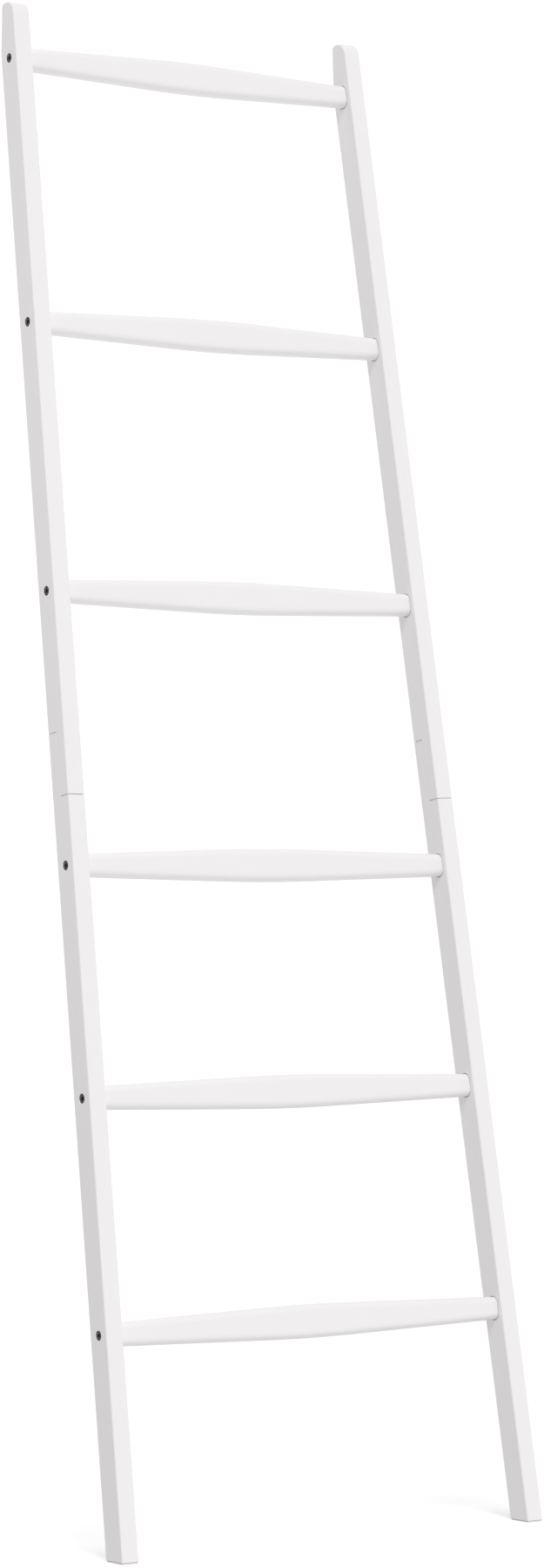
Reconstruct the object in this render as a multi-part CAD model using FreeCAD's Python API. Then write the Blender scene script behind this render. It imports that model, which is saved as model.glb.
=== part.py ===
import FreeCAD, Part
import math
import os

# A leaning blanket ladder: two tapering side rails, each in two lengths joined by a half-lap splice,
# six slatted rungs let into shallow mortises, and the screws and threaded inserts that hold it together.
#
# Everything is first laid out upright, in the ladder's own plane: X across the ladder, -Y towards its front,
# Z up along the rails from the floor. lean_back() then tilts it against the wall. Left is -X, right is +X.

# ---------------------------------------------------------------- driving dimensions, in millimetres and degrees
LEAN = 9.0                      # tilt of the ladder's plane from upright
RAIL_LENGTH = 1700.0            # foot to rounded top, along the middle of a rail
RAIL_WIDTH = 21.0               # across the ladder
RAIL_DEPTH = 31.0               # front to back
GAP_AT_FOOT = 517.3             # between the rails' inner faces
GAP_AT_TOP = 430.6
WALL_BEVEL_LENGTH = 56.0        # of each rail's back, planed upright to rest on a wall

FOOT_TO_LOWEST_RUNG = 236.0
LOWER_SPACING = 250.0           # the three lowest rungs
UPPER_SPACING = 300.0           # the four highest rungs
RUNG_THICKNESS = 18.0
RUNG_END_HEIGHT = 25.3          # where it enters the rail
RUNG_MIDDLE_HEIGHT = 36.6
RUNG_BLEND = 55.0               # each side of the middle, where the two tapers meet in one arc
RUNG_ROUNDING = 8.0             # along the four long edges
MORTISE_DEPTH = 6.0
MORTISE_CLEARANCE = 0.6         # all round the rung

LAP_START = 811.0               # height of the front seam, along the rail
LAP_LENGTH = 70.0               # from the front seam up to the back seam
LAP_GAP = 0.5                   # left open at each seam
SPLICE_BOLT_SPACING = 36.0

BOLT_HEAD_DIAMETER = 10.0       # M6 socket head
BOLT_HEAD_HEIGHT = 6.0
BOLT_DIAMETER = 5.9
BOLT_LENGTH = 20.0              # under the head
BOLT_SOCKET = 5.0               # across the flats of the hexagon
BOLT_SOCKET_DEPTH = 3.0
BOLT_RIM_CHAMFER = 0.5
BOLT_RECESS = 0.5               # the head lies this far under the wood
COUNTERBORE_DIAMETER = 10.6
CLEARANCE_HOLE = 6.6
INSERT_DIAMETER = 9.0
INSERT_BORE = 6.0
INSERT_LENGTH = 10.0
GROOVE_WIDTH = 1.0              # round the middle of the insert
GROOVE_DEPTH = 0.6
INSERT_RECESS = 0.5             # below the face that it is driven into
INSERT_HOLE_DEPTH = 13.0

PAD_THICKNESS = 1.5
PAD_INSET = 1.0                 # inside the foot's outline

# ---------------------------------------------------------------- worked out from them
SIDES = {"left": -1, "right": 1}
SPLAY = math.degrees(math.atan((GAP_AT_FOOT - GAP_AT_TOP) / 2.0 / RAIL_LENGTH))
RUNG_HEIGHTS = [FOOT_TO_LOWEST_RUNG]
for spacing in [LOWER_SPACING] * 2 + [UPPER_SPACING] * 3:
    RUNG_HEIGHTS.append(RUNG_HEIGHTS[-1] + spacing)
RUNG_HEIGHTS.reverse()          # rung 1 is the top one
LAP_MIDDLE = LAP_START + LAP_LENGTH / 2.0
SPLICE_HEIGHTS = {
    "lower": LAP_MIDDLE - SPLICE_BOLT_SPACING / 2.0,
    "upper": LAP_MIDDLE + SPLICE_BOLT_SPACING / 2.0,
}
HEAD_SEAT = BOLT_RECESS + BOLT_HEAD_HEIGHT
LEAN_SIN = math.sin(math.radians(LEAN))
LEAN_COS = math.cos(math.radians(LEAN))
WALL_BEHIND_FOOT = RAIL_DEPTH / 2.0 * LEAN_COS + (RAIL_LENGTH - WALL_BEVEL_LENGTH) * LEAN_SIN
FRONT_OF_FOOT = RAIL_DEPTH / 2.0 / LEAN_COS - PAD_THICKNESS * LEAN_SIN / LEAN_COS
FOOT_Y = (FRONT_OF_FOOT - WALL_BEHIND_FOOT) / 2.0       # centres the ladder's depth on Y = 0
WALL_Y = FOOT_Y + WALL_BEHIND_FOOT
SPARE = 60.0                    # how far cutting tools run past what they cut
HAIR = 0.1                      # for telling apart edges that differ in place

X_AXIS = FreeCAD.Vector(1, 0, 0)
Y_AXIS = FreeCAD.Vector(0, 1, 0)
ORIGIN = FreeCAD.Vector(0, 0, 0)


def inner_gap(height):
    """Distance between the rails' inner faces at a height along the ladder."""
    return GAP_AT_FOOT - (GAP_AT_FOOT - GAP_AT_TOP) * height / RAIL_LENGTH


def box(x_range, y_range, z_range):
    """A box between two corners."""
    size = [high - low for low, high in (x_range, y_range, z_range)]
    return Part.makeBox(*size, FreeCAD.Vector(x_range[0], y_range[0], z_range[0]))


def polygon_face(points):
    """A flat face with straight edges through the points."""
    corners = [FreeCAD.Vector(*point) for point in points]
    return Part.Face(Part.makePolygon(corners + corners[:1]))


def lean_back(shape):
    """Tilt an upright shape against the wall and centre it on the ladder's depth."""
    leaning = shape.copy()
    leaning.rotate(ORIGIN, X_AXIS, -LEAN)
    leaning.translate(FreeCAD.Vector(0, FOOT_Y, 0))
    return leaning


def splay(shape, side):
    """Move a shape from the middle to one rail: x = 0 becomes the inner face, +x points outwards."""
    splayed = shape.copy()
    if side < 0:
        splayed = splayed.mirror(ORIGIN, X_AXIS)
    splayed.rotate(ORIGIN, Y_AXIS, -side * SPLAY)
    splayed.translate(FreeCAD.Vector(side * GAP_AT_FOOT / 2.0, 0, 0))
    return splayed


def finish(shape, node):
    """Lean a piece back and write it to its own file."""
    lean_back(shape).exportStep("parts/" + node + ".step")


# ---------------------------------------------------------------- screws and inserts
def bolt():
    """A socket-head screw along Z: the head's top at z = 0, the shank pointing down."""
    head = Part.makeCylinder(BOLT_HEAD_DIAMETER / 2.0, BOLT_HEAD_HEIGHT)
    top_rim = [edge for edge in head.Edges if edge.BoundBox.ZMin > BOLT_HEAD_HEIGHT - HAIR]
    head = head.makeChamfer(BOLT_RIM_CHAMFER, top_rim)
    shank = Part.makeCylinder(BOLT_DIAMETER / 2.0, BOLT_LENGTH)
    shank.translate(FreeCAD.Vector(0, 0, -BOLT_LENGTH))
    circumradius = BOLT_SOCKET / math.sqrt(3.0)
    corners = []
    for corner in range(6):
        angle = math.radians(60 * corner)
        corners.append((circumradius * math.cos(angle), circumradius * math.sin(angle), 0))
    socket = polygon_face(corners).extrude(FreeCAD.Vector(0, 0, BOLT_SOCKET_DEPTH))
    socket.translate(FreeCAD.Vector(0, 0, BOLT_HEAD_HEIGHT - BOLT_SOCKET_DEPTH))
    screw = head.cut(socket).fuse(shank).removeSplitter()
    screw.translate(FreeCAD.Vector(0, 0, -BOLT_HEAD_HEIGHT))
    return screw


def bolt_hole(wood):
    """Counterbore and clearance hole along Z for a bolt whose face of wood is at z = 0."""
    counterbore = Part.makeCylinder(COUNTERBORE_DIAMETER / 2.0, HEAD_SEAT + SPARE)
    counterbore.translate(FreeCAD.Vector(0, 0, -HEAD_SEAT))
    hole = Part.makeCylinder(CLEARANCE_HOLE / 2.0, wood)
    hole.translate(FreeCAD.Vector(0, 0, -wood))
    return counterbore.fuse(hole)


def insert():
    """A threaded insert along Z, driven down from a face at z = 0, with a groove round its middle."""
    body = Part.makeCylinder(INSERT_DIAMETER / 2.0, INSERT_LENGTH)
    groove = Part.makeCylinder(INSERT_DIAMETER, GROOVE_WIDTH)
    groove = groove.cut(Part.makeCylinder(INSERT_DIAMETER / 2.0 - GROOVE_DEPTH, GROOVE_WIDTH))
    groove.translate(FreeCAD.Vector(0, 0, (INSERT_LENGTH - GROOVE_WIDTH) / 2.0))
    body = body.cut(groove).cut(Part.makeCylinder(INSERT_BORE / 2.0, INSERT_LENGTH))
    body.translate(FreeCAD.Vector(0, 0, -INSERT_LENGTH - INSERT_RECESS))
    return body


def insert_hole():
    """The blind hole that an insert is driven into, open at z = 0."""
    hole = Part.makeCylinder(INSERT_DIAMETER / 2.0, INSERT_HOLE_DEPTH)
    hole.translate(FreeCAD.Vector(0, 0, -INSERT_HOLE_DEPTH))
    return hole


def aim(shape, side, x, height):
    """Turn a shape made along +Z to point outwards across the ladder, at x and a height."""
    aimed = shape.copy()
    aimed.rotate(ORIGIN, Y_AXIS, side * 90.0)
    aimed.translate(FreeCAD.Vector(x, 0, height))
    return aimed


def aim_back(shape, side, height, y):
    """Turn a shape made along +Z to point out of a rail's back, on the rail's middle line."""
    aimed = shape.copy()
    aimed.rotate(ORIGIN, X_AXIS, -90.0)
    aimed.translate(FreeCAD.Vector(RAIL_WIDTH / 2.0, y, height))
    return splay(aimed, side)


# ---------------------------------------------------------------- rungs
def rung_profile(gap, overrun):
    """Front outline of a rung that runs past both rails' inner faces: straight tapers and an arc in the middle."""
    taper = (RUNG_MIDDLE_HEIGHT - RUNG_END_HEIGHT) / (gap - RUNG_BLEND)
    blend_height = RUNG_END_HEIGHT / 2.0 + taper * (gap / 2.0 - RUNG_BLEND)
    end_height = RUNG_END_HEIGHT / 2.0 - taper * overrun
    crown = RUNG_MIDDLE_HEIGHT / 2.0
    half = gap / 2.0 + overrun
    points = []
    for z_sign, x_sign in ((1, -1), (1, 0), (1, 1), (-1, 1), (-1, 0), (-1, -1)):
        z = crown if x_sign == 0 else blend_height
        points.append(FreeCAD.Vector(x_sign * RUNG_BLEND, 0, z_sign * z))
    ends = []
    for x_sign, z_sign in ((1, 1), (1, -1), (-1, -1), (-1, 1)):
        ends.append(FreeCAD.Vector(x_sign * half, 0, z_sign * end_height))
    edges = [
        Part.LineSegment(ends[3], points[0]).toShape(),
        Part.Arc(*points[0:3]).toShape(),
        Part.LineSegment(points[2], ends[0]).toShape(),
        Part.LineSegment(ends[0], ends[1]).toShape(),
        Part.LineSegment(ends[1], points[3]).toShape(),
        Part.Arc(*points[3:6]).toShape(),
        Part.LineSegment(points[5], ends[2]).toShape(),
        Part.LineSegment(ends[2], ends[3]).toShape(),
    ]
    return Part.Face(Part.Wire(edges))


def edges_across(shape):
    """The edges that run across the ladder."""
    return [edge for edge in shape.Edges if edge.BoundBox.XLength > HAIR]


def rounded_slat(face):
    """Thicken a front outline about Y = 0 and round its long edges."""
    slat = face.extrude(FreeCAD.Vector(0, RUNG_THICKNESS, 0))
    slat.translate(FreeCAD.Vector(0, -RUNG_THICKNESS / 2.0, 0))
    return slat.makeFillet(RUNG_ROUNDING, edges_across(slat))


def behind_mortise_floor(side):
    """Everything outside the floors of one side's mortises, as one slab."""
    slab = box((MORTISE_DEPTH, RAIL_LENGTH), (-SPARE, SPARE), (-SPARE, RAIL_LENGTH))
    return splay(slab, side)


def rung(height):
    """One rung, its ends square to the rails and bored for the inserts."""
    outline = rung_profile(inner_gap(height), 2.0 * MORTISE_DEPTH)
    slat = rounded_slat(outline)
    slat.translate(FreeCAD.Vector(0, 0, height))
    for side in SIDES.values():
        slat = slat.cut(behind_mortise_floor(side))
        slat = slat.cut(aim(insert_hole(), side, side * rung_end(height), height))
    return slat


def rung_end(height):
    """Distance from the middle of the ladder to the end of a rung, on its axis."""
    return inner_gap(height) / 2.0 + MORTISE_DEPTH / math.cos(math.radians(SPLAY))


def mortise(height, side):
    """The pocket for one rung end, open at the rail's inner face."""
    rounding = RUNG_ROUNDING + MORTISE_CLEARANCE
    half_depth = RUNG_THICKNESS / 2.0 + MORTISE_CLEARANCE
    half_height = RUNG_END_HEIGHT / 2.0 + MORTISE_CLEARANCE
    pocket = box((-SPARE / 2.0, MORTISE_DEPTH), (-half_depth, half_depth), (-half_height, half_height))
    pocket = pocket.makeFillet(rounding, edges_across(pocket))
    along_rail = height / math.cos(math.radians(SPLAY))
    pocket.translate(FreeCAD.Vector(0, 0, along_rail))
    return splay(pocket, side)


def outer_face(height):
    """Distance from the middle of the ladder to a rail's outer face, at a height."""
    return inner_gap(height) / 2.0 + RAIL_WIDTH / math.cos(math.radians(SPLAY))


# ---------------------------------------------------------------- rails
def rail_blank():
    """A whole rail, upright, with its full-radius top, and spare length at the foot."""
    radius = RAIL_DEPTH / 2.0
    shoulder = RAIL_LENGTH - radius
    foot_front = FreeCAD.Vector(0, -radius, -SPARE)
    foot_back = FreeCAD.Vector(0, radius, -SPARE)
    top_front = FreeCAD.Vector(0, -radius, shoulder)
    top_back = FreeCAD.Vector(0, radius, shoulder)
    apex = FreeCAD.Vector(0, 0, RAIL_LENGTH)
    outline = Part.Wire([
        Part.LineSegment(foot_front, top_front).toShape(),
        Part.Arc(top_front, apex, top_back).toShape(),
        Part.LineSegment(top_back, foot_back).toShape(),
        Part.LineSegment(foot_back, foot_front).toShape(),
    ])
    return Part.Face(outline).extrude(FreeCAD.Vector(RAIL_WIDTH, 0, 0))


def floor_and_wall():
    """The room that a leaning rail may not enter: under the pads' tops and behind the wall."""
    far = 2.0 * RAIL_LENGTH
    below = box((-far, far), (-far, far), (-far, PAD_THICKNESS))
    behind = box((-far, far), (WALL_Y, far), (-far, far))
    return below.fuse(behind)


def upright_room():
    """The same room in the upright layout, so that rails can be cut before they lean."""
    room = floor_and_wall()
    room.translate(FreeCAD.Vector(0, -FOOT_Y, 0))
    room.rotate(ORIGIN, X_AXIS, LEAN)
    return room


def rail(side):
    """One whole rail in place, with every mortise and every bolt hole through to it."""
    wood = splay(rail_blank(), side).cut(upright_room())
    for height in RUNG_HEIGHTS:
        face_of_wood = outer_face(height)
        wood = wood.cut(mortise(height, side))
        wood = wood.cut(aim(bolt_hole(RAIL_WIDTH), side, side * face_of_wood, height))
    for height in SPLICE_HEIGHTS.values():
        wood = wood.cut(aim_back(bolt_hole(RAIL_DEPTH / 2.0), side, height, RAIL_DEPTH / 2.0))
        wood = wood.cut(aim_back(insert_hole(), side, height, 0))
    return wood


def below_lap(side, seam_gap):
    """All below the front seam, and the back half up to the back seam, each stopping short by the seam's gap."""
    width = (-SPARE, RAIL_WIDTH + SPARE)
    below = box(width, (-SPARE, SPARE), (-2 * SPARE, LAP_START - seam_gap))
    tongue = box(width, (0, SPARE), (-2 * SPARE, LAP_START + LAP_LENGTH - seam_gap))
    return splay(below.fuse(tongue), side)


# ---------------------------------------------------------------- foot pads
def foot_pad(side):
    """A thin pad under one foot, a little smaller than the foot all round."""
    inset_rail = box(
        (PAD_INSET, RAIL_WIDTH - PAD_INSET),
        (-RAIL_DEPTH / 2.0 + PAD_INSET, RAIL_DEPTH / 2.0 - PAD_INSET),
        (-SPARE, SPARE))
    leaning = lean_back(splay(inset_rail, side))
    layer = box((-RAIL_LENGTH, RAIL_LENGTH), (-RAIL_LENGTH, RAIL_LENGTH), (0, PAD_THICKNESS))
    return leaning.common(layer)


# ---------------------------------------------------------------- the whole ladder
def make_rails():
    for name, side in SIDES.items():
        whole = rail(side)
        finish(whole.common(below_lap(side, LAP_GAP)), name + "_lower_rail")
        finish(whole.cut(below_lap(side, 0.0)), name + "_upper_rail")
        foot_pad(side).exportStep("parts/" + name + "_foot_pad.step")


def make_rungs():
    for number, height in enumerate(RUNG_HEIGHTS, start=1):
        finish(rung(height), "rung_%d" % number)
        for name, side in SIDES.items():
            head = side * (outer_face(height) - BOLT_RECESS)
            finish(aim(bolt(), side, head, height), "rung_bolt_%s_%d" % (name, number))
            end = side * rung_end(height)
            finish(aim(insert(), side, end, height), "rung_insert_%s_%d" % (name, number))


def make_splices():
    for name, side in SIDES.items():
        for place, height in SPLICE_HEIGHTS.items():
            head_y = RAIL_DEPTH / 2.0 - BOLT_RECESS
            finish(aim_back(bolt(), side, height, head_y), "splice_bolt_%s_%s" % (name, place))
            finish(aim_back(insert(), side, height, 0), "splice_insert_%s_%s" % (name, place))


os.makedirs("parts", exist_ok=True)
make_rails()
make_rungs()
make_splices()
print("splay %.3f degrees a side, wall at y = %.2f, foot at y = %.2f" % (SPLAY, WALL_Y, FOOT_Y))
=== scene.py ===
# %% [markdown]
# # A leaning blanket ladder
# Two slim rails taper towards each other, lean on a wall, and carry six flat rungs for folded quilts and
# towels. Everything is painted satin white, so the picture lives on soft edges, small shadow gaps and the
# dark screw heads. This lesson draws each piece of wood, screw and pad around a finished mechanical
# frame.

# %% Load the finished frame
import math
import random

import bmesh
import bpy
from mathutils import Matrix, Vector


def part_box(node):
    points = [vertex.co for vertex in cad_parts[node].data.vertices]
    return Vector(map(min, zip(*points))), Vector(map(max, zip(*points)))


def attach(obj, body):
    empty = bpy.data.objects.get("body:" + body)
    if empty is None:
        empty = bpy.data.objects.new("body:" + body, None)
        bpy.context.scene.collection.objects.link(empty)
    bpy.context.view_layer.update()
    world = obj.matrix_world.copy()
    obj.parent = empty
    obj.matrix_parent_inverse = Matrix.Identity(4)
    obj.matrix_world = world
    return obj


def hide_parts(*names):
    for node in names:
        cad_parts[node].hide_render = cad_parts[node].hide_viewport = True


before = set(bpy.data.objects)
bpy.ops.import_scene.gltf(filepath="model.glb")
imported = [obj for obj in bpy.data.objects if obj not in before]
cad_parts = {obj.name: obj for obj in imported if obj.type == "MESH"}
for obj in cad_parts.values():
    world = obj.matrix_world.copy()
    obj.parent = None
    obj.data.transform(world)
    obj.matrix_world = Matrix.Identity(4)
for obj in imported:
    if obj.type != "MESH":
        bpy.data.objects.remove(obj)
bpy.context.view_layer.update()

print("frame nodes:", len(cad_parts))

# %% [markdown]
# ## Where the ladder stands
# The frame says where every piece sits, but the pieces are easier to draw upright, before the ladder
# leans. So the lean, the splay of the rails and the heights of the rungs are worked out from the frame's
# own boxes, and one matrix tilts whatever is drawn upright. Drawing at an angle from the start would give
# the same shapes, with trigonometry in every line.

# %% Sizes of the wood and its joints, in metres
MM = 0.001
SIDES = {"left": -1, "right": 1}
RAIL_WIDTH = 21 * MM
RAIL_DEPTH = 31 * MM
RAIL_LENGTH = 1700 * MM
LAP_START = 811 * MM
LAP_END = 881 * MM
LAP_GAP = 0.5 * MM
SPLICE_HEIGHTS = {"lower": 828 * MM, "upper": 864 * MM}
MORTISE_DEPTH = 6 * MM
RUNG_THICKNESS = 18 * MM
RUNG_END_HEIGHT = 25.3 * MM
RUNG_MIDDLE_HEIGHT = 36.6 * MM
RUNG_BLEND = 55 * MM
RUNG_ROUNDING = 8 * MM
RECESS = 0.5 * MM
PAD_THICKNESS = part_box("left_foot_pad")[1].z


# %% Read the lean, the splay and the rungs' heights from the frame
def centre(node):
    low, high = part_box(node)
    return (low + high) / 2


RUNGS = ["rung_%d" % number for number in range(1, 7)]
top_rung, low_rung = centre(RUNGS[0]), centre(RUNGS[-1])
LEAN = math.atan2(top_rung.y - low_rung.y, top_rung.z - low_rung.z)
FOOT_Y = top_rung.y - top_rung.z * math.tan(LEAN)
HEIGHTS = {rung: centre(rung).z / math.cos(LEAN) for rung in RUNGS}
ladder_rise = HEIGHTS[RUNGS[0]] - HEIGHTS[RUNGS[-1]]
SPLAY = math.atan2(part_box(RUNGS[-1])[1].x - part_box(RUNGS[0])[1].x, ladder_rise)
LEAN_BACK = Matrix.Translation((0, FOOT_Y, 0)) @ Matrix.Rotation(-LEAN, 4, "X")
print("lean %.2f, splay %.2f degrees, foot at y = %.4f" % (math.degrees(LEAN), math.degrees(SPLAY), FOOT_Y))

# %% Read the rails' places from the lowest screw, which lies just under the rail's outer face
WIDTH_ACROSS = RAIL_WIDTH / math.cos(SPLAY)
outer_at_low_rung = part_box("rung_bolt_right_6")[1].x + RECESS
HALF_GAP_AT_FOOT = outer_at_low_rung - WIDTH_ACROSS + HEIGHTS[RUNGS[-1]] * math.tan(SPLAY)
print("gap between the rails at the foot %.4f" % (2 * HALF_GAP_AT_FOOT))


def half_gap(height):
    """Half the distance between the rails' inner faces, at a height up the ladder."""
    return HALF_GAP_AT_FOOT - height * math.tan(SPLAY)


def rail_place(side):
    """From a rail's own layout (x = 0 at its inner face, y to its back, z up it) to the leaning ladder."""
    return (LEAN_BACK @ Matrix.Translation((side * HALF_GAP_AT_FOOT, 0, 0))
            @ Matrix.Rotation(-side * SPLAY, 4, "Y"))


# %% [markdown]
# ## Camera
# The camera stands low and well to the left, with a long lens, so that the rails stay nearly parallel on
# the picture and their outer faces show. It is placed from the top rung and turned by a heading, a small
# tilt and a trace of roll. Tracking an empty would also aim it, but plain angles are easier to read and
# to repeat.

# %% Place the camera
CAMERA_FROM_TOP_RUNG = Vector((-2.9599, -4.3022, -0.9374))
HEADING, TILT, ROLL = math.radians(35.522), math.radians(1.548), math.radians(-0.377)

camera = bpy.data.objects.new("camera", bpy.data.cameras.new("camera"))
camera.data.lens = 106.69
camera.data.sensor_width = 36.0
camera.data.clip_end = 200
upright_aim = Matrix.Rotation(-HEADING, 4, "Z") @ Matrix.Rotation(math.pi / 2 + TILT, 4, "X")
aim = upright_aim @ Matrix.Rotation(ROLL, 4, "Z")
camera.matrix_world = Matrix.Translation(top_rung + CAMERA_FROM_TOP_RUNG) @ aim
bpy.context.scene.collection.objects.link(camera)
bpy.context.scene.camera = camera
print("camera at", [round(v, 3) for v in camera.matrix_world.translation])

# %% [markdown]
# ## Shader sums in plain Python
# A material is easier to read as a formula than as a page of node links. One small class wraps a node's
# output and turns +, - and * into nodes; a second one holds the node tree and makes every other node.
# Numbers that meet each other in a formula are simply worked out by Python and never become nodes.


# %% A node's output that can be used in sums
class Wire:
    def __init__(self, recipe, socket):
        self.recipe = recipe
        self.socket = socket

    def combine(self, operation, first, second):
        kinds = [value.socket.type for value in (first, second) if isinstance(value, Wire)]
        maths = "ShaderNodeVectorMath" if "VECTOR" in kinds else "ShaderNodeMath"
        return self.recipe.node(maths, {"operation": operation}, {0: first, 1: second})

    def __add__(self, other):
        return self.combine("ADD", self, other)

    def __radd__(self, other):
        return self.combine("ADD", other, self)

    def __sub__(self, other):
        return self.combine("SUBTRACT", self, other)

    def __rsub__(self, other):
        return self.combine("SUBTRACT", other, self)

    def __mul__(self, other):
        return self.combine("MULTIPLY", self, other)

    def __rmul__(self, other):
        return self.combine("MULTIPLY", other, self)


# %% A node tree that makes its nodes in one line each
class Recipe:
    def __init__(self, tree):
        self.tree = tree
        self.tree.nodes.clear()

    def node(self, kind, settings=None, inputs=None, output=0):
        """One node: its type, its settings, what its sockets are given, and the output that is wanted."""
        made = self.tree.nodes.new(kind)
        for setting, value in (settings or {}).items():
            setattr(made, setting, value)
        for key, value in (inputs or {}).items():
            self.connect(self.find(made.inputs, key), value)
        return Wire(self, self.find(made.outputs, output)) if made.outputs else made

    def find(self, sockets, key):
        if isinstance(key, int):
            return sockets[key]
        return next(socket for socket in sockets if key in (socket.identifier, socket.name))

    def connect(self, socket, value):
        if isinstance(value, Wire):
            self.tree.links.new(value.socket, socket)
        elif socket.type == "VECTOR" and isinstance(value, (int, float)):
            socket.default_value = (value,) * 3
        elif socket.type == "RGBA":
            socket.default_value = (*value, 1.0)
        else:
            socket.default_value = value

    def noise(self, where, scale, detail=2.0, roughness=0.5):
        """Cloudy values from 0 to 1 that have their middle at a half."""
        return self.node("ShaderNodeTexNoise", {}, {"Vector": where, "Scale": scale, "Detail": detail,
                                                    "Roughness": roughness})

    def ramp(self, value, low, high):
        """0 below low, 1 above high, and a smooth rise between them."""
        return self.node("ShaderNodeMapRange", {"interpolation_type": "SMOOTHSTEP"},
                         {"Value": value, "From Min": low, "From Max": high})

    def mix(self, amount, first, second):
        """From the first colour to the second as the amount goes from 0 to 1."""
        return self.node("ShaderNodeMix", {"data_type": "RGBA"},
                         {"Factor_Float": amount, "A_Color": first, "B_Color": second}, "Result_Color")

    def bump(self, height, depth):
        """Small relief: a height from 0 to 1 times a depth in metres."""
        return self.node("ShaderNodeBump", {}, {"Height": height, "Distance": depth, "Strength": 1.0})


# %% Start a finish: a material, its recipe and its shader
def finish(name, build):
    """A material whose shader inputs come from build(recipe), a table of socket names and values."""
    material = bpy.data.materials.new(name)
    material.use_nodes = True
    recipe = Recipe(material.node_tree)
    shader = recipe.node("ShaderNodeBsdfPrincipled", {}, build(recipe))
    recipe.node("ShaderNodeOutputMaterial", {}, {"Surface": shader})
    print("finish:", name, "with", len(material.node_tree.nodes), "nodes")
    return material


# %% [markdown]
# ## Floor and light
# White paint needs light that falls off gently from its front to its sides, or the edges vanish. The sky
# is a large pale tent, brighter below and to the right, and a broad sun stands in front, above and to the
# left. Two discs of light help it: one brightens the upper edges, and one keeps the outer side of the
# left rail a shade paler than the inner side of the right one. The floor is plain and pale. It only
# catches the ladder's soft shadow: light bounced back up from it would flatten the undersides of the
# rungs, so the sky below lights them instead.

# %% The sky as a sum of directions
SKY_LEVEL, SKY_SLOPE = 0.725, Vector((0.236, 0.09, -0.34))
BACKDROP_TOWARDS, BACKDROP_EDGES = Vector((0.45, 0.75, 0.5)).normalized(), (0.45, 0.95)
BACKDROP_GAIN, BACKDROP_SEEN = 0.12, 1.06

world = bpy.data.worlds.new("studio")
world.use_nodes = True
bpy.context.scene.world = world
sky = Recipe(world.node_tree)
direction = sky.node("ShaderNodeTexCoord", {}, {}, "Generated")


def towards(vector):
    """How far each direction of the sky points along a vector."""
    pair = {0: direction, 1: vector}
    return sky.node("ShaderNodeVectorMath", {"operation": "DOT_PRODUCT"}, pair, "Value")


backdrop = sky.ramp(towards(BACKDROP_TOWARDS), *BACKDROP_EDGES)
glow = SKY_LEVEL + towards(SKY_SLOPE) + BACKDROP_GAIN * backdrop
seen = sky.node("ShaderNodeLightPath", {}, {}, "Is Camera Ray")
brightness = glow * (1 - seen) + BACKDROP_SEEN * seen
tent = sky.node("ShaderNodeBackground", {}, {"Color": (1, 1, 1), "Strength": brightness})
sky.node("ShaderNodeOutputWorld", {}, {"Surface": tent})
bpy.context.scene.view_settings.view_transform = "Standard"
print("sky nodes:", len(world.node_tree.nodes))

# %% The broad sun
SUN_HEADING, SUN_HEIGHT, SUN_BREADTH = math.radians(23), math.radians(48), math.radians(28)
SUN_LEVEL = 0.5
sun = bpy.data.objects.new("sun", bpy.data.lights.new("sun", "SUN"))
sun.data.energy = SUN_LEVEL * math.pi
sun.data.angle = SUN_BREADTH
sun.rotation_euler = (math.pi / 2 - SUN_HEIGHT, 0, -SUN_HEADING)
bpy.context.scene.collection.objects.link(sun)
print("sun %.0f degrees left of the front, %.0f up" % (math.degrees(SUN_HEADING), math.degrees(SUN_HEIGHT)))


# %% A disc of light above and behind the top, and one close to the left rail
def disc_light(name, size, power, place, turn):
    lamp = bpy.data.objects.new(name, bpy.data.lights.new(name, "AREA"))
    lamp.data.shape = "DISK"
    lamp.data.size = size
    lamp.data.energy = power
    lamp.location = place
    lamp.rotation_euler = [math.radians(angle) for angle in turn]
    lamp.visible_camera = False
    bpy.context.scene.collection.objects.link(lamp)
    print(name, "of", power, "W at", place)


disc_light("softbox", size=1.0, power=1.5, place=(-0.4, 0.75, 2.3), turn=(-35, -18, 0))
disc_light("fill", size=0.8, power=0.75, place=(-1.15, 0.0, 1.25), turn=(0, -90, 0))

# %% The floor
FLOOR_REACH = 40.0
FLOOR_COLOUR, FLOOR_LIFT = (0.88, 0.88, 0.88), 0.262
floor_mesh = bpy.data.meshes.new("floor")
floor_corners = [(x * FLOOR_REACH, y * FLOOR_REACH, 0) for x, y in ((-1, -1), (1, -1), (1, 1), (-1, 1))]
floor_mesh.from_pydata(floor_corners, [], [(0, 1, 2, 3)])
floor = bpy.data.objects.new("floor", floor_mesh)
bpy.context.scene.collection.objects.link(floor)
floor_mesh.materials.append(finish("pale floor", lambda recipe: {
    "Base Color": FLOOR_COLOUR, "Roughness": 1.0, "Specular IOR Level": 0.0,
    "Emission Color": (1, 1, 1), "Emission Strength": FLOOR_LIFT}))
floor.visible_diffuse = False
floor.visible_glossy = False

# %% [markdown]
# ## The satin white paint
# Two coats of sprayed paint over planed hardwood look plain, and aren't. The grain still telegraphs as
# long, very shallow ripples, the spray leaves a fine orange peel, and the sheen is uneven from place to
# place. An image of paint would stretch on the long rails, so noise is used instead, measured in the
# plank's own coordinates: every wooden piece stores where each point was in its plank, with z along the
# grain.

# %% Mix the paint
PAINT_LIGHT, PAINT_DEEP = (0.905, 0.886, 0.894), (0.885, 0.864, 0.872)
STRETCH_ALONG_GRAIN, RELIEF = 0.035, 0.05 * MM
GRAIN_SCALE, PORE_SCALE, PEEL_SCALE, CLOUD_SCALE = 420.0, 1500.0, 700.0, 14.0


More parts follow.
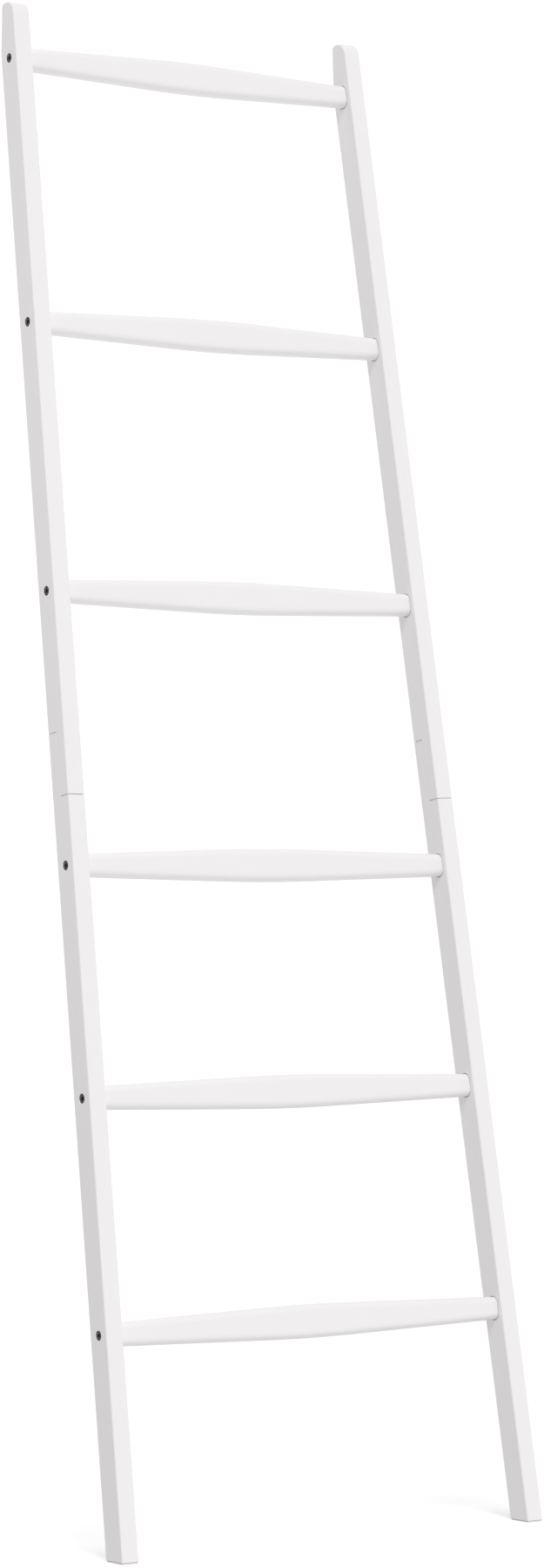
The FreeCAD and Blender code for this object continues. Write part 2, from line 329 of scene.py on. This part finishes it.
def painted_wood(recipe):
    plank = recipe.node("ShaderNodeAttribute", {"attribute_name": "plank"}, {}, "Vector")
    along = plank * recipe.node("ShaderNodeCombineXYZ", {}, {"X": 1.0, "Y": 1.0, "Z": STRETCH_ALONG_GRAIN})
    grain = recipe.noise(along, GRAIN_SCALE, 5.0, 0.6)
    pores = recipe.ramp(recipe.noise(along, PORE_SCALE, 2.0), 0.62, 0.75)
    peel = recipe.noise(plank, PEEL_SCALE, 1.0)
    cloud = recipe.noise(plank, CLOUD_SCALE, 3.0)
    height = 0.6 * grain + 0.25 * peel - 0.15 * pores
    return {
        "Base Color": recipe.mix(0.7 * cloud + 0.3 * grain, PAINT_DEEP, PAINT_LIGHT),
        "Roughness": 0.33 + 0.10 * cloud + 0.05 * peel,
        "Normal": recipe.bump(height, RELIEF),
        "IOR": 1.48,
    }


PAINT = finish("satin white paint", painted_wood)


# %% [markdown]
# ## Tools for making solids
# Every piece here is a skin stretched over rings of points: a rung is rounded rectangles set side by
# side, a screw is circles and hexagons, and even a rail starts as two copies of its side view. Cutting
# tools are made in the same way, and an exact Boolean carves them out. Modelling the holes by hand would
# give tidier quads, but flat wood doesn't need them, and the carved mesh keeps every hole in its true
# place. A tool always passes through the face that it enters: an edge lying in that face would leave
# slivers in the carved mesh.


# %% Stretch a skin over rings
def loft(rings, closed=False, into=None):
    """A solid over rings of points, capped at both ends, or joined end to start when closed."""
    solid = into or bmesh.new()
    loops = [[solid.verts.new(point) for point in ring] for ring in rings]
    pairs = list(zip(loops, loops[1:]))
    if closed:
        pairs.append((loops[-1], loops[0]))
    faces = [] if closed else [solid.faces.new(loops[0][::-1]), solid.faces.new(loops[-1])]
    count = len(rings[0])
    for near, far in pairs:
        for i in range(count):
            j = (i + 1) % count
            faces.append(solid.faces.new((near[i], near[j], far[j], far[i])))
    bmesh.ops.recalc_face_normals(solid, faces=faces)
    return solid


def circle(radius, z, points, ripple=0.0):
    """A ring round the z axis; a ripple makes every other point lie a little deeper."""
    ring = []
    for i in range(points):
        reach = radius - ripple * (i % 2)
        angle = 2 * math.pi * i / points
        ring.append(Vector((reach * math.cos(angle), reach * math.sin(angle), z)))
    return ring


def placed(rings, place):
    return [[place @ Vector(point) for point in ring] for ring in rings]


# %% Turn a solid into a piece, and carve it
def piece(name, solid):
    mesh = bpy.data.meshes.new(name)
    solid.to_mesh(mesh)
    solid.free()
    made = bpy.data.objects.new(name, mesh)
    bpy.context.scene.collection.objects.link(made)
    return made


def bake(made):
    """Keep the shape that the modifiers give, and drop them."""
    bpy.context.view_layer.update()
    shape = bpy.data.meshes.new_from_object(made.evaluated_get(bpy.context.evaluated_depsgraph_get()))
    made.modifiers.clear()
    made.data = shape


def carve(made, cutter):
    """Cut a bmesh full of cutting tools out of a piece."""
    tool = piece("tool", cutter)
    cut = made.modifiers.new("carve", "BOOLEAN")
    cut.operation = "DIFFERENCE"
    cut.solver = "EXACT"
    cut.object = tool
    bake(made)
    bpy.data.objects.remove(tool)


# %% Give a piece its finish, and let it stand for its node
draw = random.Random(7)
SHARP_FROM = math.radians(32)


def remember_plank(made, plank):
    """Store where each point was in its plank, from a random start, so that no two pieces share grain."""
    start = Vector((draw.uniform(0, 3), draw.uniform(0, 3), draw.uniform(0, 3)))
    spots = made.data.attributes.new("plank", "FLOAT_VECTOR", "POINT")
    back = plank.inverted()
    for vertex in made.data.vertices:
        spots.data[vertex.index].vector = back @ vertex.co + start


def settle(made, node, material):
    """Shade a piece smoothly between its sharp edges, then give it its finish and its node."""
    made.data.materials.clear()
    made.data.materials.append(material)
    made.data.shade_smooth()
    made.data.set_sharp_from_angle(angle=SHARP_FROM)
    even = made.modifiers.new("even normals", "WEIGHTED_NORMAL")
    even.keep_sharp = True
    bake(made)
    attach(made, "root")
    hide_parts(node)


# %% [markdown]
# ## Rails
# Each rail is two lengths of 21 by 31 mm hardwood that meet in a half lap: the upper length keeps its
# front half, the lower one its back half, and a hair of shadow shows at each seam. The top is a full
# radius, planed flat behind where it rests on the wall, and the foot is cut level. Long edges are eased
# to about 1.5 mm, seams hardly at all, so each edge carries its own bevel weight instead of one size for
# all.

# %% Side views of the two lengths, as (y, z)
SPARE = 60 * MM
HALF_DEPTH = RAIL_DEPTH / 2
CROWN_STEPS = 40


def lower_outline():
    step = LAP_START - LAP_GAP
    tip = LAP_END - LAP_GAP
    front = [(-HALF_DEPTH, -SPARE), (-HALF_DEPTH, step), (0, step)]
    return front + [(0, tip), (HALF_DEPTH, tip), (HALF_DEPTH, -SPARE)]


def upper_outline():
    shoulder = RAIL_LENGTH - HALF_DEPTH
    crown = []
    for i in range(CROWN_STEPS + 1):
        angle = math.pi * i / CROWN_STEPS
        crown.append((-HALF_DEPTH * math.cos(angle), shoulder + HALF_DEPTH * math.sin(angle)))
    return crown + [(HALF_DEPTH, LAP_END), (0, LAP_END), (0, LAP_START), (-HALF_DEPTH, LAP_START)]


# %% Cut the blank level at the floor and plumb at the wall
def slice_off(solid, point, normal):
    """Remove what lies beyond a plane, and close the cut."""
    everything = solid.verts[:] + solid.edges[:] + solid.faces[:]
    cut = bmesh.ops.bisect_plane(solid, geom=everything, plane_co=point, plane_no=normal, clear_outer=True)
    rim = [item for item in cut["geom_cut"] if isinstance(item, bmesh.types.BMEdge)]
    bmesh.ops.contextual_create(solid, geom=rim)


def rail_blank(side, outline, point, normal):
    """One length of rail in its own layout, cut by a plane that is given in the leaning ladder."""
    solid = loft([[(x, y, z) for y, z in outline] for x in (0, side * RAIL_WIDTH)])
    upright = rail_place(side).inverted()
    slice_off(solid, upright @ Vector(point), upright.to_3x3() @ Vector(normal))
    return solid


# %% Ease the edges, each by its own amount
ARRIS, SEAM_EASE, FOOT_EASE = 1.5 * MM, 0.5 * MM, 0.8 * MM
LEAST_ANGLE = math.radians(25)


def in_lap(point):
    return LAP_START - MM < point.z < LAP_END + MM


def ease(edge):
    """How far an edge is rounded: little at the seams, more at the cut ends, most along the rail."""
    if len(edge.link_faces) != 2 or not edge.is_convex or edge.calc_face_angle() < LEAST_ANGLE:
        return 0.0
    first, second = (vertex.co for vertex in edge.verts)
    if in_lap(first) and in_lap(second):
        return SEAM_EASE
    if first.z < RAIL_DEPTH and second.z < RAIL_DEPTH:
        return FOOT_EASE
    return ARRIS


def eased(made_from):
    weights = made_from.edges.layers.float.new("bevel_weight_edge")
    for edge in made_from.edges:
        edge[weights] = ease(edge) / ARRIS
    return made_from


def soften(made, width, segments, limit="WEIGHT"):
    bevel = made.modifiers.new("soften", "BEVEL")
    bevel.width = width
    bevel.segments = segments
    bevel.limit_method = limit
    bevel.use_clamp_overlap = False
    bake(made)


# %% Cutting tools: mortises and screw holes
HOLE_POINTS = 64
MOUTH = 0.3 * MM
BEYOND = 1 * MM
MORTISE_PLAY = 0.6 * MM
MORTISE_Y, MORTISE_Z = RUNG_THICKNESS / 2 + MORTISE_PLAY, RUNG_END_HEIGHT / 2 + MORTISE_PLAY
COUNTERBORE, CLEARANCE, HEAD_SEAT = 5.3 * MM, 3.3 * MM, 6.5 * MM
INSERT_RADIUS, INSERT_HOLE = 4.5 * MM, 13 * MM


def rounded_rectangle(half_y, half_z, radius, steps=10):
    """Points round a rectangle with rounded corners, as (y, z)."""
    points = []
    for quarter, (y_sign, z_sign) in enumerate(((1, 1), (-1, 1), (-1, -1), (1, -1))):
        for step in range(steps + 1):
            angle = (quarter + step / steps) * math.pi / 2
            points.append((y_sign * (half_y - radius) + radius * math.cos(angle),
                           z_sign * (half_z - radius) + radius * math.sin(angle)))
    return points


def mortise_tool(side, height, cutter):
    """The pocket for one rung end: slightly open at its mouth, and eased in at its floor."""
    mouth = [(-BEYOND, MOUTH + BEYOND), (MOUTH, 0)]
    bottom = [(MORTISE_DEPTH - MOUTH, 0), (MORTISE_DEPTH, -MOUTH)]
    rings = []
    for x, grow in mouth + bottom:
        outline = rounded_rectangle(MORTISE_Y + grow, MORTISE_Z + grow, RUNG_ROUNDING + MORTISE_PLAY + grow)
        rings.append([(side * x, y, z) for y, z in outline])
    place = rail_place(side) @ Matrix.Translation((0, 0, height / math.cos(SPLAY)))
    loft(placed(rings, place), into=cutter)


def turned_tool(profile, place, cutter):
    loft(placed([circle(radius, z, HOLE_POINTS) for radius, z in profile], place), into=cutter)


def screw_hole(depth):
    """Counterbore and clearance hole below a face at z = 0, with a slightly open mouth."""
    return [(COUNTERBORE + MOUTH + BEYOND, BEYOND), (COUNTERBORE, -MOUTH), (COUNTERBORE, -HEAD_SEAT),
            (CLEARANCE, -HEAD_SEAT), (CLEARANCE, -depth)]


INSERT_POCKET = [(INSERT_RADIUS, BEYOND), (INSERT_RADIUS, -INSERT_HOLE)]


def across(side, x, height):
    """Turns +z to point outwards across the ladder, at x and a height."""
    upright = LEAN_BACK @ Matrix.Translation((side * x, 0, height))
    return upright @ Matrix.Rotation(side * math.pi / 2, 4, "Y")


def backwards(side, y, height):
    """Turns +z to point out of a rail's back, on its middle line."""
    spot = Matrix.Translation((side * RAIL_WIDTH / 2, y, height))
    return rail_place(side) @ spot @ Matrix.Rotation(-math.pi / 2, 4, "X")


# %% Make the four lengths of rail
THROUGH_TO_MORTISE = RAIL_WIDTH - MORTISE_DEPTH / 2
WALL_POINT, WALL_NORMAL = (0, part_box("left_upper_rail")[1].y, 0), (0, 1, 0)
FLOOR_POINT, FLOOR_NORMAL = (0, 0, PAD_THICKNESS), (0, 0, -1)


def rail(name, side, blank, rungs, splice_y, splice_profile):
    """One length of rail: eased, stood in its place, then mortised and drilled."""
    made = piece(name + "_wood", eased(blank))
    soften(made, ARRIS, 4)
    made.data.transform(rail_place(side))
    pockets, holes, splice = bmesh.new(), bmesh.new(), bmesh.new()
    for rung in rungs:
        mortise_tool(side, HEIGHTS[rung], pockets)
        outer = half_gap(HEIGHTS[rung]) + WIDTH_ACROSS
        turned_tool(screw_hole(THROUGH_TO_MORTISE), across(side, outer, HEIGHTS[rung]), holes)
    for height in SPLICE_HEIGHTS.values():
        turned_tool(splice_profile, backwards(side, splice_y, height), splice)
    for cutter in (pockets, holes, splice):
        carve(made, cutter)
    remember_plank(made, rail_place(side))
    settle(made, name, PAINT)
    print(made.name, "faces:", len(made.data.polygons))


for word, side in SIDES.items():
    upper_blank = rail_blank(side, upper_outline(), WALL_POINT, WALL_NORMAL)
    rail(word + "_upper_rail", side, upper_blank, RUNGS[:3], 0, INSERT_POCKET)
    lower_blank = rail_blank(side, lower_outline(), FLOOR_POINT, FLOOR_NORMAL)
    rail(word + "_lower_rail", side, lower_blank, RUNGS[3:], HALF_DEPTH, screw_hole(HALF_DEPTH + BEYOND))

# %% [markdown]
# ## Rungs
# A rung is a slat, 18 mm thick, deeper in the middle than at its ends, with every long edge rounded over
# to 8 mm so that nothing marks a folded quilt. Its outline is two straight tapers joined by one gentle
# curve. Rings of rounded rectangles follow that outline, closely spaced in the curve and at the eased
# ends, where the light shows any corner.

# %% Outline of a rung
END_EASE = 0.6 * MM
EASE_STEPS = 4
CURVE_SPACING = 5 * MM
TAPER_SPACING = 30 * MM


def rung_half_height(x, gap):
    """Half a rung's height at x, between rails that are a gap apart: straight tapers and a middle curve."""
    taper = (RUNG_MIDDLE_HEIGHT - RUNG_END_HEIGHT) / (gap - RUNG_BLEND)
    if abs(x) >= RUNG_BLEND:
        return RUNG_END_HEIGHT / 2 + taper * (gap / 2 - abs(x))
    return RUNG_MIDDLE_HEIGHT / 2 - taper / (2 * RUNG_BLEND) * x * x


def stations(half_length):
    """Where the rings stand, from the middle to one end, as (x, how far the ring shrinks)."""
    curve_count = round(RUNG_BLEND / CURVE_SPACING)
    spots = [(RUNG_BLEND * i / curve_count, 0.0) for i in range(curve_count)]
    straight = half_length - END_EASE - RUNG_BLEND
    taper_count = round(straight / TAPER_SPACING)
    spots += [(RUNG_BLEND + straight * i / taper_count, 0.0) for i in range(taper_count)]
    for i in range(EASE_STEPS + 1):
        angle = math.pi / 2 * i / EASE_STEPS
        spots.append((half_length - END_EASE * (1 - math.sin(angle)), END_EASE * (1 - math.cos(angle))))
    return spots


# %% Make the six rungs
def rung(name, height):
    """A rung whose end faces lean with the rails, bored at both ends for its inserts."""
    half_length = half_gap(height) + MORTISE_DEPTH / math.cos(SPLAY)
    right = stations(half_length)
    left = [(-x, shrink) for x, shrink in right[:0:-1]]
    rings = []
    for x, shrink in left + right:
        half_z = rung_half_height(x, 2 * half_gap(height)) - shrink
        outline = rounded_rectangle(RUNG_THICKNESS / 2 - shrink, half_z, RUNG_ROUNDING - shrink)
        follow = x / half_length * math.tan(SPLAY)
        rings.append([(x - follow * z, y, z) for y, z in outline])
    made = piece(name + "_wood", loft(placed(rings, LEAN_BACK @ Matrix.Translation((0, 0, height)))))
    pockets = bmesh.new()
    for side in SIDES.values():
        turned_tool(INSERT_POCKET, across(side, half_length, height), pockets)
    carve(made, pockets)
    remember_plank(made, across(1, 0, height))
    settle(made, name, PAINT)
    print(made.name, "length %.4f" % (2 * half_length), "faces:", len(made.data.polygons))


for name, height in HEIGHTS.items():
    rung(name, height)

# %% [markdown]
# ## Screws
# The rungs and the half laps are held by M6 socket-head screws in a dark bronze finish, sunk just under
# the wood. Only the heads show, so the socket, its chamfered mouth and the rounded rim are what matters.
# The rim and the mouth are rubbed paler in patches, and the whole socket is painted a paler bronze: a
# painted glint that stands in for light catching its walls. The knurled side and the thread are modelled
# too, because the mesh is kept as a part in its own right. One mesh serves all sixteen, each turned by
# its own angle, as a hand with a hexagon key leaves them.

# %% Mix the dark bronze
# The paler bronze serves both as rubbed metal at the rim and mouth and as a painted glint of light in the
# socket.
BRONZE, WORN_AND_GLINT_BRONZE = (0.085, 0.076, 0.070), (0.54, 0.52, 0.48)


def dark_bronze(recipe):
    spot = recipe.node("ShaderNodeTexCoord", {}, {}, "Object")
    flat = spot * recipe.node("ShaderNodeCombineXYZ", {}, {"X": 1.0, "Y": 1.0, "Z": 0.0})
    radius = recipe.node("ShaderNodeVectorMath", {"operation": "LENGTH"}, {0: flat}, "Value")
    rim = recipe.ramp(radius, 4.4 * MM, 4.9 * MM)
    mouth = recipe.ramp(radius, 2.5 * MM, 2.9 * MM) * (1 - recipe.ramp(radius, 3.05 * MM, 3.4 * MM))
    # The socket is painted paler all over: a painted glint standing in for light on its walls, not rubbing
    # by the key.
    painted_socket_glint = 1 - recipe.ramp(radius, 2.8 * MM, 3.0 * MM)
    rubbed = recipe.ramp(recipe.noise(spot, 900.0, 4.0), 0.42, 0.66)
    # Real rubbing in patches at the rim and mouth, plus the painted glint in the socket.
    wear_and_glint = rubbed * (0.3 * rim + 0.6 * mouth) + 0.45 * painted_socket_glint
    speckle = recipe.noise(spot, 4000.0, 2.0)
    return {
        "Base Color": recipe.mix(wear_and_glint, BRONZE, WORN_AND_GLINT_BRONZE),
        "Roughness": 0.26 + 0.16 * speckle - 0.08 * wear_and_glint,
        "Normal": recipe.bump(speckle, 0.02 * MM),
        "Metallic": 1.0,
    }


BRONZE_FINISH = finish("dark bronze", dark_bronze)

# %% Draw the screw
HEAD_POINTS, SHANK_POINTS = 72, 24
HEAD_RADIUS, HEAD_HEIGHT = 5 * MM, 6 * MM
SHANK_RADIUS, SHANK_LENGTH, PITCH, THREAD_DEPTH = 2.95 * MM, 20 * MM, 1 * MM, 0.45 * MM
HEXAGON, SOCKET_DEPTH, SOCKET_CHAMFER = 2.5 * MM, 3 * MM, 0.25 * MM
DRILLED, DRILL_TIP, DRILL_CONE = 2.3 * MM, 0.3 * MM, 0.9 * MM
SHOULDER = ((3.05, 0), (4.4, 0), (4.7, 0.07), (4.9, 0.25), (5.0, 0.55))
KNURL, KNURL_TOP, KNURL_END = 0.14 * MM, 0.8 * MM, 0.5 * MM
LOWER_EDGE = ((0.1, 0.2), (0.3, 0))
STEPS_PER_TURN, TIP_SLOPE = 5, 0.7


def hexagon(z):
    """A ring round a hexagon, whose points are spread so that it joins a circle without twisting."""
    ring = []
    for i in range(HEAD_POINTS):
        angle = 2 * math.pi * i / HEAD_POINTS
        from_flat = (angle + math.pi / 6) % (math.pi / 3) - math.pi / 6
        reach = HEXAGON / math.cos(from_flat)
        ring.append(Vector((reach * math.cos(angle), reach * math.sin(angle), z)))
    return ring


def head_rings():
    """From the bottom of the socket, up and out over the head, and down its side.

    SHOULDER gives the radius and depth of a ring, and LOWER_EDGE how far in and up it lies, in millimetres.
    """
    rings = [circle(DRILL_TIP, -SOCKET_DEPTH - DRILL_CONE, HEAD_POINTS)]
    rings += [circle(DRILLED, -SOCKET_DEPTH, HEAD_POINTS)]
    rings += [hexagon(-SOCKET_DEPTH), hexagon(-SOCKET_CHAMFER)]
    rings += [circle(radius * MM, -z * MM, HEAD_POINTS) for radius, z in SHOULDER]
    for z in (-KNURL_TOP, KNURL_END - HEAD_HEIGHT):
        rings.append(circle(HEAD_RADIUS, z, HEAD_POINTS, KNURL))
    for inward, up in LOWER_EDGE:
        rings.append(circle(HEAD_RADIUS - inward * MM, up * MM - HEAD_HEIGHT, HEAD_POINTS))
    return rings


def thread_rings():
    """Down the shank, with the radius rising and falling once for every pitch and every turn."""
    rings = [circle(SHANK_RADIUS, -HEAD_HEIGHT - plain, SHANK_POINTS) for plain in (0, PITCH)]
    steps = round(SHANK_LENGTH / PITCH) * STEPS_PER_TURN
    for step in range(STEPS_PER_TURN + 1, steps + 1):
        down = SHANK_LENGTH * step / steps
        fade = min(1.0, (down - PITCH) / PITCH)
        tip = max(0.0, down - SHANK_LENGTH + PITCH) * TIP_SLOPE
        ring = []
        for i in range(SHANK_POINTS):
            phase = (down / PITCH + i / SHANK_POINTS) % 1.0
            radius = SHANK_RADIUS - tip - THREAD_DEPTH * fade * abs(2 * phase - 1)
            angle = 2 * math.pi * i / SHANK_POINTS
            ring.append(Vector((radius * math.cos(angle), radius * math.sin(angle), -HEAD_HEIGHT - down)))
        rings.append(ring)
    return rings


# %% Join the head to the shank, and make one screw mesh
def screw_mesh():
    solid = loft(head_rings())
    solid.faces.ensure_lookup_table()
    under_head = solid.faces[1]
    outer = [loop.vert for loop in under_head.loops]
    solid.faces.remove(under_head)
    outer.sort(key=lambda vertex: math.atan2(vertex.co.y, vertex.co.x) % (2 * math.pi))
    shank = [[solid.verts.new(point) for point in ring] for ring in thread_rings()]
    ratio = HEAD_POINTS // SHANK_POINTS
    for i in range(SHANK_POINTS):
        j = (i + 1) % SHANK_POINTS
        rim = [outer[(ratio * i + k) % HEAD_POINTS] for k in range(ratio + 1)]
        solid.faces.new(rim + [shank[0][j], shank[0][i]])
        for near, far in zip(shank, shank[1:]):
            solid.faces.new((near[i], near[j], far[j], far[i]))
    solid.faces.new(shank[-1])
    bmesh.ops.recalc_face_normals(solid, faces=solid.faces)
    open_edges = sum(not edge.is_manifold for edge in solid.edges)
    print("screw faces:", len(solid.faces), "open edges:", open_edges)
    mesh = bpy.data.meshes.new("socket_screw")
    solid.to_mesh(mesh)
    solid.free()
    mesh.materials.append(BRONZE_FINISH)
    mesh.shade_smooth()
    mesh.set_sharp_from_angle(angle=SHARP_FROM)
    return mesh


SCREW = screw_mesh()


# %% Put a screw in every hole
def fixing(node, mesh, place):
    """A copy of a small metal part in its place, turned by a random angle about its own axis."""
    made = bpy.data.objects.new(node + "_metal", mesh)
    made.matrix_world = place @ Matrix.Rotation(draw.uniform(0, 2 * math.pi), 4, "Z")
    bpy.context.scene.collection.objects.link(made)
    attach(made, "root")
    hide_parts(node)


for word, side in SIDES.items():
    for number, height in enumerate(HEIGHTS.values(), start=1):
        outer = half_gap(height) + WIDTH_ACROSS - RECESS
        fixing("rung_bolt_%s_%d" % (word, number), SCREW, across(side, outer, height))
    for level, height in SPLICE_HEIGHTS.items():
        place = backwards(side, HALF_DEPTH - RECESS, height)
        fixing("splice_bolt_%s_%s" % (word, level), SCREW, place)

# %% [markdown]
# ## Threaded inserts
# Each screw ends in a zinc-plated insert that is pressed into the wood, out of sight. A press-in insert
# has rings of saw-tooth barbs round a plain bore. Its cross-section is a short list of points, swept
# round the axis and joined up with itself, and every other point on a barb is set back to break the ring
# into teeth.

# %% Mix the zinc plating
ZINC, ZINC_DULL = (0.70, 0.69, 0.66), (0.58, 0.57, 0.55)


def zinc(recipe):
    spot = recipe.node("ShaderNodeTexCoord", {}, {}, "Object")
    cells = {"Vector": spot, "Scale": 900.0}
    crystals = recipe.node("ShaderNodeTexVoronoi", {"feature": "F1"}, cells, "Distance")
    haze = recipe.noise(spot, 350.0, 3.0)
    return {
        "Base Color": recipe.mix(0.6 * haze + 0.4 * crystals, ZINC_DULL, ZINC),
        "Roughness": 0.28 + 0.2 * haze,
        "Normal": recipe.bump(haze, 0.02 * MM),
        "Metallic": 1.0,
    }


ZINC_FINISH = finish("zinc plating", zinc)

# %% Draw the insert and place one behind every screw
INSERT_LENGTH, BORE, BARBS, BARB_DEPTH = 10 * MM, 3 * MM, 5, 0.5 * MM
INSERT_POINTS = 48
LEAD, CREST, TOOTH = 0.4 * MM, 0.3 * MM, 0.15 * MM


def insert_mesh():
    spacing = (INSERT_LENGTH - 2 * LEAD) / BARBS
    section = [(BORE, -LEAD, 0), (BORE + LEAD, 0, 0), (INSERT_RADIUS - LEAD, 0, 0)]
    for barb in range(BARBS):
        crest = -LEAD - spacing * barb
        section += [(INSERT_RADIUS, crest, TOOTH), (INSERT_RADIUS, crest - CREST, TOOTH)]
        section += [(INSERT_RADIUS - BARB_DEPTH, crest - spacing + 0.05 * MM, 0)]
    section += [(BORE + LEAD, -INSERT_LENGTH, 0), (BORE, LEAD - INSERT_LENGTH, 0)]
    slices = []
    for i in range(INSERT_POINTS):
        angle = 2 * math.pi * i / INSERT_POINTS
        slices.append([((r - tooth * (i % 2)) * math.cos(angle), (r - tooth * (i % 2)) * math.sin(angle), z)
                       for r, z, tooth in section])
    solid = loft(slices, closed=True)
    open_edges = sum(not edge.is_manifold for edge in solid.edges)
    print("insert faces:", len(solid.faces), "open edges:", open_edges)
    mesh = bpy.data.meshes.new("press_in_insert")
    solid.to_mesh(mesh)
    solid.free()
    mesh.materials.append(ZINC_FINISH)
    mesh.shade_smooth()
    mesh.set_sharp_from_angle(angle=SHARP_FROM)
    return mesh


INSERT = insert_mesh()
for word, side in SIDES.items():
    for number, height in enumerate(HEIGHTS.values(), start=1):
        depth = half_gap(height) + MORTISE_DEPTH / math.cos(SPLAY) - RECESS
        fixing("rung_insert_%s_%d" % (word, number), INSERT, across(side, depth, height))
    for level, height in SPLICE_HEIGHTS.items():
        place = backwards(side, -RECESS, height)
        fixing("splice_insert_%s_%s" % (word, level), INSERT, place)

# %% [markdown]
# ## Foot pads
# A thin pale rubber pad under each foot keeps the ladder from sliding. It is a millimetre smaller than
# the foot all round, so from the side it reads as a soft line of shadow. The rail's own outline, drawn in
# and sliced at the floor and at the pad's top, gives its slanted sides without any new measurements.

# %% Mix the rubber
RUBBER, RUBBER_GREY = (0.70, 0.69, 0.68), (0.78, 0.77, 0.76)


def rubber(recipe):
    spot = recipe.node("ShaderNodeTexCoord", {}, {}, "Object")
    grit = recipe.noise(spot, 2500.0, 3.0)
    dust = recipe.ramp(recipe.noise(spot, 300.0, 4.0), 0.45, 0.75)
    return {
        "Base Color": recipe.mix(0.6 * dust + 0.2 * grit, RUBBER, RUBBER_GREY),
        "Roughness": 0.72 + 0.2 * grit,
        "Normal": recipe.bump(grit, 0.06 * MM),
    }


RUBBER_FINISH = finish("pale rubber", rubber)

# %% Make the two pads
PAD_INSET, PAD_EASE = 1 * MM, 0.3 * MM


def foot_pad(name, side):
    """The rail's outline drawn in a little, cut level at the floor and at the pad's top."""
    reach = HALF_DEPTH - PAD_INSET
    outline = [(-reach, -SPARE), (-reach, SPARE), (reach, SPARE), (reach, -SPARE)]
    faces_at = (side * PAD_INSET, side * (RAIL_WIDTH - PAD_INSET))
    pad = loft(placed([[(x, y, z) for y, z in outline] for x in faces_at], rail_place(side)))
    slice_off(pad, Vector((0, 0, 0)), Vector((0, 0, -1)))
    slice_off(pad, Vector((0, 0, PAD_THICKNESS)), Vector((0, 0, 1)))
    made = piece(name + "_rubber", pad)
    soften(made, PAD_EASE, 3, "ANGLE")
    settle(made, name, RUBBER_FINISH)
    print(made.name, "faces:", len(made.data.polygons))


for word, side in SIDES.items():
    foot_pad(word + "_foot_pad", side)
